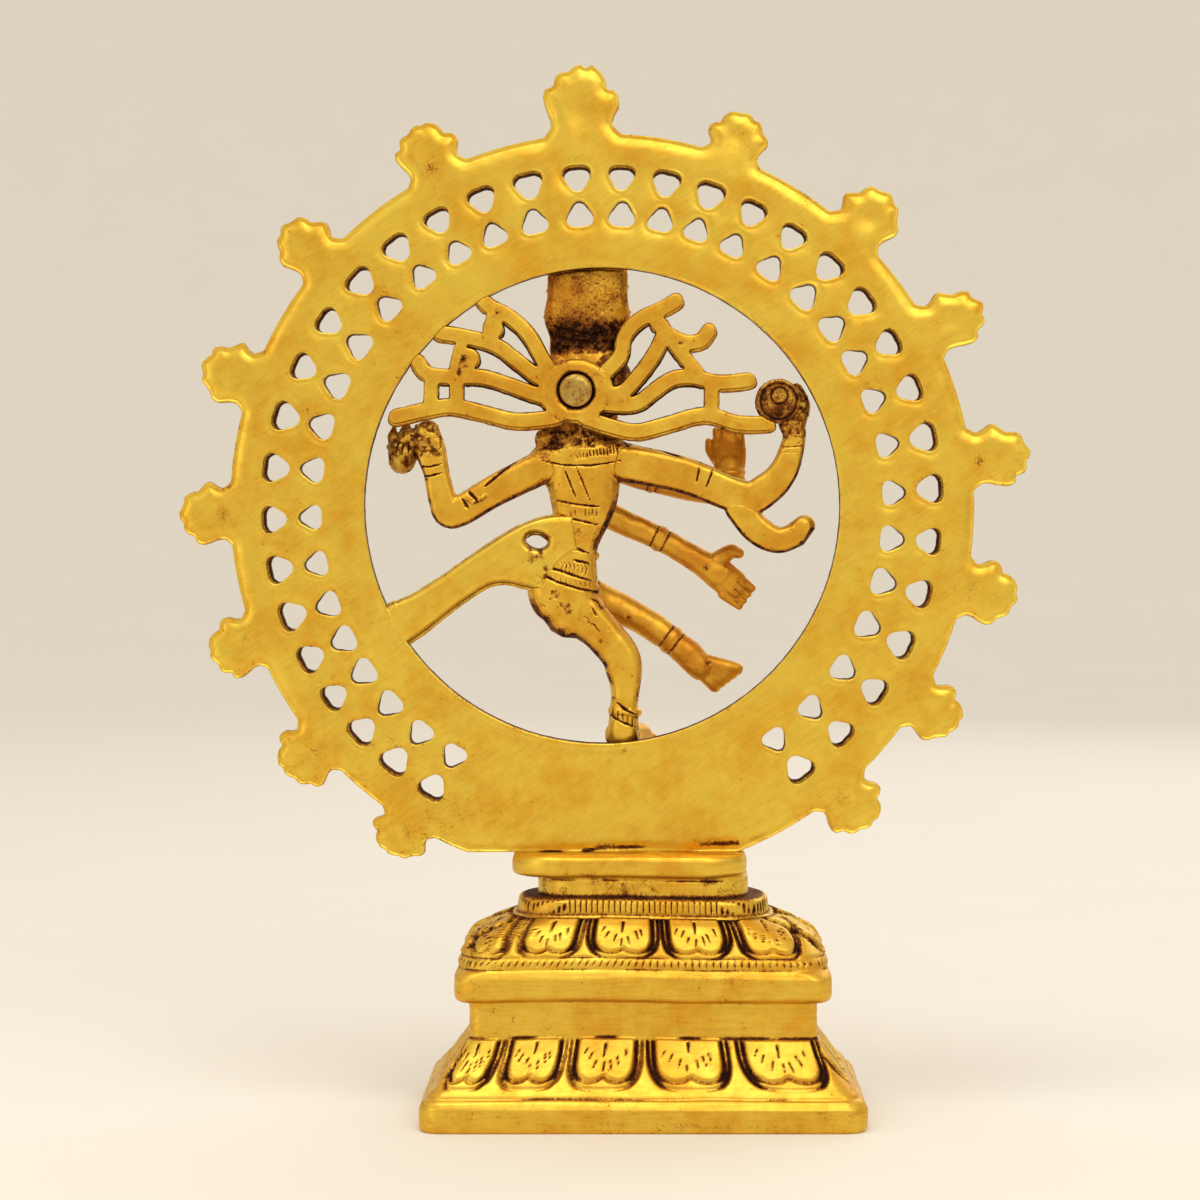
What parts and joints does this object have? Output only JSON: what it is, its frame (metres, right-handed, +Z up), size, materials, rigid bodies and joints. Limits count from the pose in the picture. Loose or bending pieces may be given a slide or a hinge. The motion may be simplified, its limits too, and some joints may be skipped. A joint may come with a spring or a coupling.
{
  "type": "decorative statue",
  "caption": "Cast brass statue of a four-armed dancer in a pierced ring of flames on a hollow lotus pedestal.",
  "frame": {"origin": "middle of the plane that the pedestal rests on, below the middle of the pedestal", "axes": "+Z up, -Y the side the dancer faces, +Y the flat polished back, +X the dancer's left-hand side"},
  "size_m": [0.2073, 0.06, 0.2546],
  "materials": {
    "polished_brass": "hand-filed and buffed brass with dark patina left in the recesses",
    "cast_brass": "rough as-cast brass, brown in the hollows, worn bright on the high spots",
    "dark_brass": "as-cast brass with heavy dark brown patina",
    "rivet_brass": "dull hammered brass",
    "steel": "plain dull steel"
  },
  "bodies": {
    "root": {"pedestal": "polished_brass", "base_bolt": "steel", "base_washer": "steel", "aureole": "polished_brass", "dwarf": "cast_brass", "dancer_body": "polished_brass", "head_and_crown": "cast_brass", "hair_locks": "polished_brass", "hair_rivet": "rivet_brass", "rear_left_arm": "polished_brass", "fire_bowl": "dark_brass", "rear_right_arm": "polished_brass", "hand_drum": "dark_brass", "front_right_arm": "cast_brass", "cobra": "polished_brass", "front_left_arm": "cast_brass", "raised_leg": "cast_brass", "sash": "polished_brass"}
  },
  "joints": []
}
